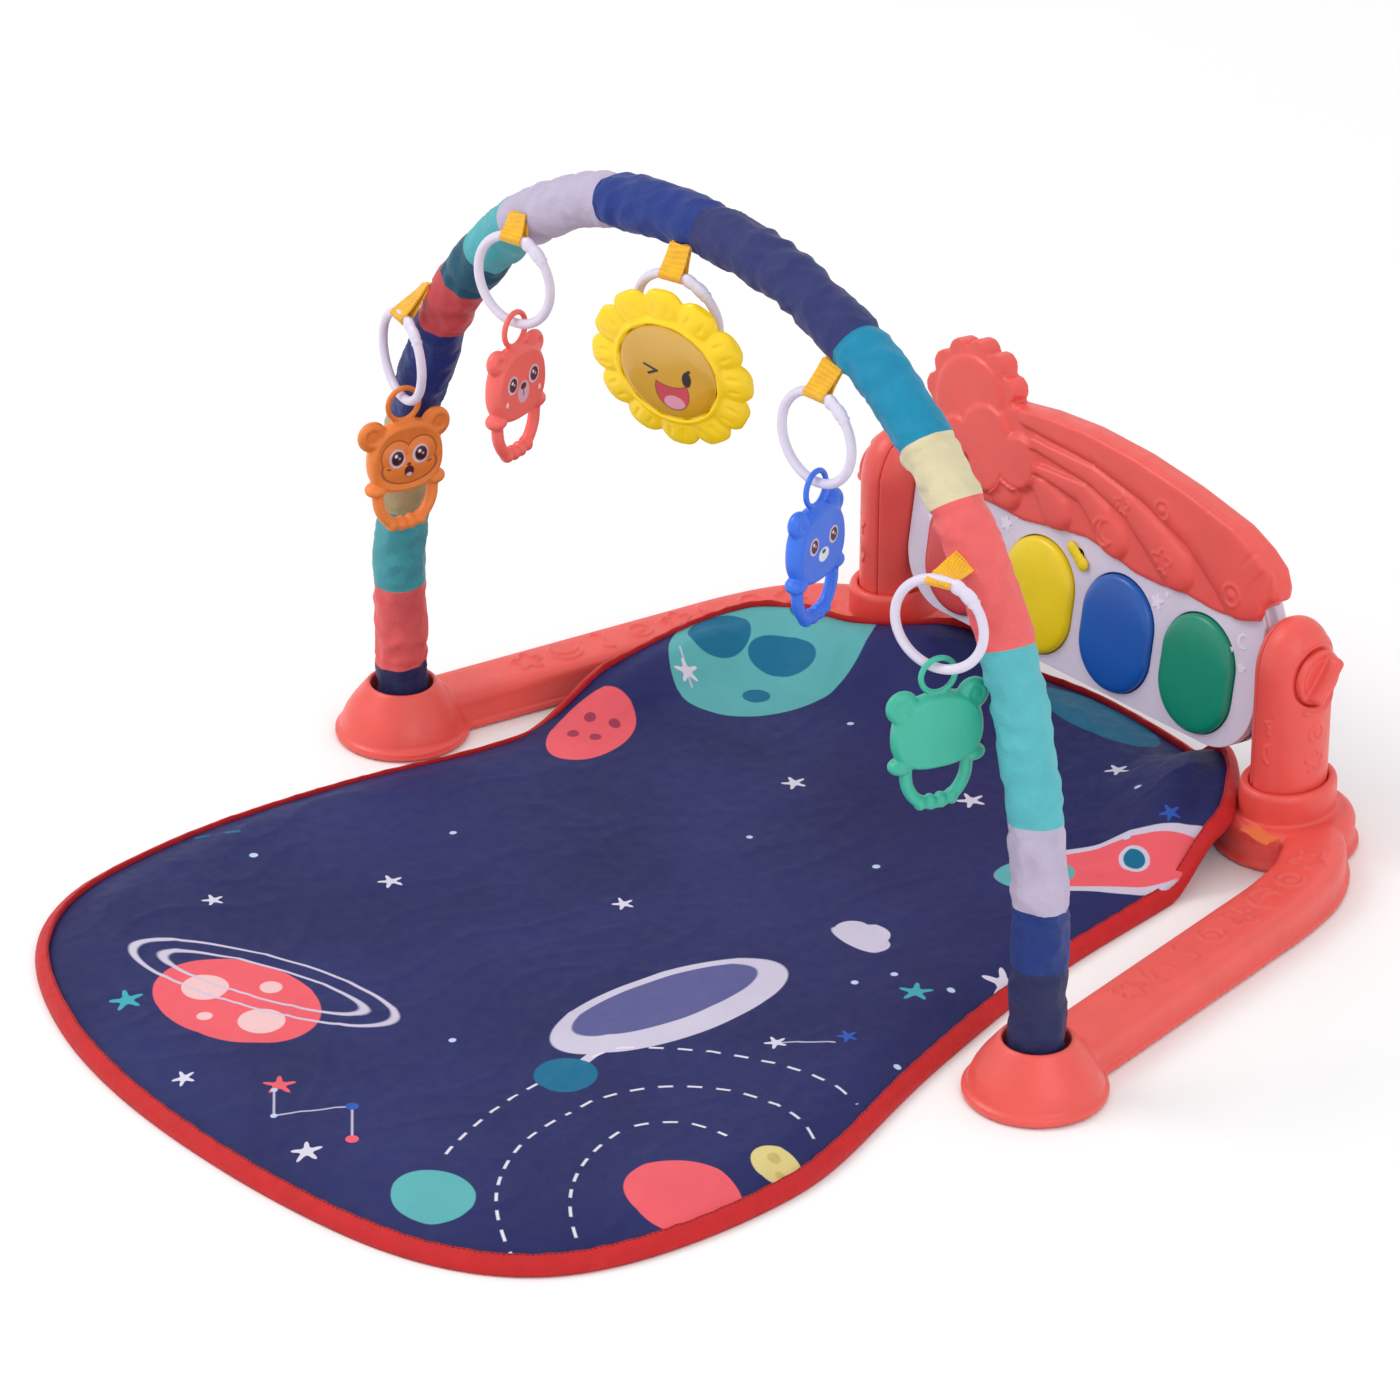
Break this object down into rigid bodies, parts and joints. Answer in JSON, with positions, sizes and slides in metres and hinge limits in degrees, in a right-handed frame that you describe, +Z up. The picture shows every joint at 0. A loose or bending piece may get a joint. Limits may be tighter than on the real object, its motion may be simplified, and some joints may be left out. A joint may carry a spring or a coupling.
{
  "type": "activity play gym",
  "caption": "Baby play gym: padded mat on a two-rail base, fabric-covered arch with teethers hanging on rings, and a tilting toy piano with foot keys.",
  "frame": {"origin": "on the floor, at the centre of the overall box, between the rails and the mat", "axes": "+X to the right of a child whose feet are at the piano, +Y towards the piano, +Z up"},
  "size_m": [0.62, 0.721, 0.4312],
  "materials": {
    "coral_plastic": "satin",
    "white_plastic": "satin",
    "pad_rubber": "matt",
    "steel": "plain",
    "orange_webbing": "woven",
    "cell_wrap": "printed wrap",
    "board_green": "solder mask",
    "dark_plastic": "matt",
    "key_red": "gloss",
    "key_yellow": "gloss",
    "key_blue": "gloss",
    "key_green": "gloss",
    "tube_plastic": "satin",
    "sleeve_fabric": "plain weave in colour blocks",
    "yellow_webbing": "woven",
    "ring_plastic": "gloss",
    "toy_orange": "soft matt",
    "toy_coral": "soft matt",
    "toy_blue": "soft matt",
    "toy_green": "soft matt",
    "petal_yellow": "gloss",
    "face_ochre": "gloss",
    "mat_fabric": "printed, padded and bound"
  },
  "bodies": {
    "frame": {"rail_right": "coral_plastic", "rail_cover_right": "coral_plastic", "front_pad_right": "pad_rubber", "rear_pad_right": "pad_rubber", "cover_screw_right": "steel", "post_shell_right": "coral_plastic", "post_face_right": "coral_plastic", "mat_strap_right": "orange_webbing", "rail_left": "coral_plastic", "rail_cover_left": "coral_plastic", "front_pad_left": "pad_rubber", "rear_pad_left": "pad_rubber", "cover_screw_left": "steel", "post_shell_left": "coral_plastic", "post_face_left": "coral_plastic", "mat_strap_left": "orange_webbing", "arch_tube_left": "tube_plastic", "arch_tube_top": "tube_plastic", "arch_tube_right": "tube_plastic", "ferrule_left": "steel", "ferrule_right": "steel", "arch_sleeve": "sleeve_fabric", "tab_1": "yellow_webbing", "tab_2": "yellow_webbing", "tab_3": "yellow_webbing", "tab_4": "yellow_webbing", "tab_5": "yellow_webbing", "play_mat": "mat_fabric"},
    "piano": {"pivot_pin_right": "steel", "pivot_pin_left": "steel", "piano_panel": "white_plastic", "piano_housing": "white_plastic", "battery_door": "white_plastic", "piano_cover": "coral_plastic", "battery_screw": "steel", "battery_1": "cell_wrap", "battery_2": "cell_wrap", "battery_3": "cell_wrap", "circuit_board": "board_green", "speaker": "dark_plastic"},
    "knob_right": {"tilt_knob_right": "coral_plastic"},
    "knob_left": {"tilt_knob_left": "coral_plastic"},
    "key_red": {"key_red": "key_red"},
    "key_yellow": {"key_yellow": "key_yellow"},
    "key_blue": {"key_blue": "key_blue"},
    "key_green": {"key_green": "key_green"},
    "volume_switch": {"volume_switch": "key_yellow"},
    "ring_1": {"ring_1": "ring_plastic"},
    "teether_monkey": {"teether_monkey": "toy_orange"},
    "ring_2": {"ring_2": "ring_plastic"},
    "teether_bear": {"teether_bear": "toy_coral"},
    "ring_3": {"ring_3": "ring_plastic", "sunflower_petals": "petal_yellow", "sunflower_back": "petal_yellow", "sunflower_face": "face_ochre"},
    "ring_4": {"ring_4": "ring_plastic"},
    "teether_cub": {"teether_cub": "toy_blue"},
    "ring_5": {"ring_5": "ring_plastic"},
    "teether_frog": {"teether_frog": "toy_green"}
  },
  "joints": [
    {"name": "piano_tilt", "type": "hinge", "parent": "frame", "child": "piano", "pos_m": [0, 0.32, 0.112], "axis": [1, 0, 0], "range_deg": [-45, 35]},
    {"name": "right_knob_turn", "type": "hinge", "parent": "frame", "child": "knob_right", "pos_m": [0.184, 0.32, 0.112], "axis": [1, 0, 0], "range_deg": [-90, 90]},
    {"name": "left_knob_turn", "type": "hinge", "parent": "frame", "child": "knob_left", "pos_m": [-0.184, 0.32, 0.112], "axis": [-1, 0, 0], "range_deg": [-90, 90]},
    {"name": "red_key_press", "type": "slide", "parent": "piano", "child": "key_red", "axis": [0, 0.9907, -0.1357], "range_m": [0, 0.004], "stiffness_N_per_m": 400, "springref_m": -0.003},
    {"name": "yellow_key_press", "type": "slide", "parent": "piano", "child": "key_yellow", "axis": [0, 0.9907, -0.1357], "range_m": [0, 0.004], "stiffness_N_per_m": 400, "springref_m": -0.003},
    {"name": "blue_key_press", "type": "slide", "parent": "piano", "child": "key_blue", "axis": [0, 0.9907, -0.1357], "range_m": [0, 0.004], "stiffness_N_per_m": 400, "springref_m": -0.003},
    {"name": "green_key_press", "type": "slide", "parent": "piano", "child": "key_green", "axis": [0, 0.9907, -0.1357], "range_m": [0, 0.004], "stiffness_N_per_m": 400, "springref_m": -0.003},
    {"name": "volume_slide", "type": "slide", "parent": "piano", "child": "volume_switch", "axis": [-0.7986, 0.0817, 0.5962], "range_m": [-0.0025, 0.0025]},
    {"name": "ring_1_swing", "type": "hinge", "parent": "frame", "child": "ring_1", "pos_m": [-0.23, -0.0075, 0.292], "axis": [0.9703, -0.2419, 0], "range_deg": [-35, 0]},
    {"name": "teether_monkey_swing", "type": "hinge", "parent": "ring_1", "child": "teether_monkey", "pos_m": [-0.23, -0.0075, 0.2404], "axis": [0.9703, -0.2419, 0], "range_deg": [-30, 8]},
    {"name": "ring_2_swing", "type": "hinge", "parent": "frame", "child": "ring_2", "pos_m": [-0.136, -0.0025, 0.37], "axis": [0.9848, 0.1736, 0], "range_deg": [-35, 15]},
    {"name": "teether_bear_swing", "type": "hinge", "parent": "ring_2", "child": "teether_bear", "pos_m": [-0.136, -0.0025, 0.3184], "axis": [0.9848, 0.1736, 0], "range_deg": [-30, 30]},
    {"name": "ring_3_swing", "type": "hinge", "parent": "frame", "child": "ring_3", "pos_m": [-0.003, -0.0025, 0.393], "axis": [0.9659, 0.2588, 0], "range_deg": [-42, 18]},
    {"name": "ring_4_swing", "type": "hinge", "parent": "frame", "child": "ring_4", "pos_m": [0.112, -0.0025, 0.364], "axis": [0.9986, 0.0523, 0], "range_deg": [-35, 30]},
    {"name": "teether_cub_swing", "type": "hinge", "parent": "ring_4", "child": "teether_cub", "pos_m": [0.112, -0.0025, 0.3124], "axis": [0.9986, 0.0523, 0], "range_deg": [-30, 30]},
    {"name": "ring_5_swing", "type": "hinge", "parent": "frame", "child": "ring_5", "pos_m": [0.2195, -0.013, 0.299], "axis": [0.9397, 0.342, 0], "range_deg": [-35, 0]},
    {"name": "teether_frog_swing", "type": "hinge", "parent": "ring_5", "child": "teether_frog", "pos_m": [0.2195, -0.013, 0.2474], "axis": [0.9397, 0.342, 0], "range_deg": [-30, 0]}
  ]
}
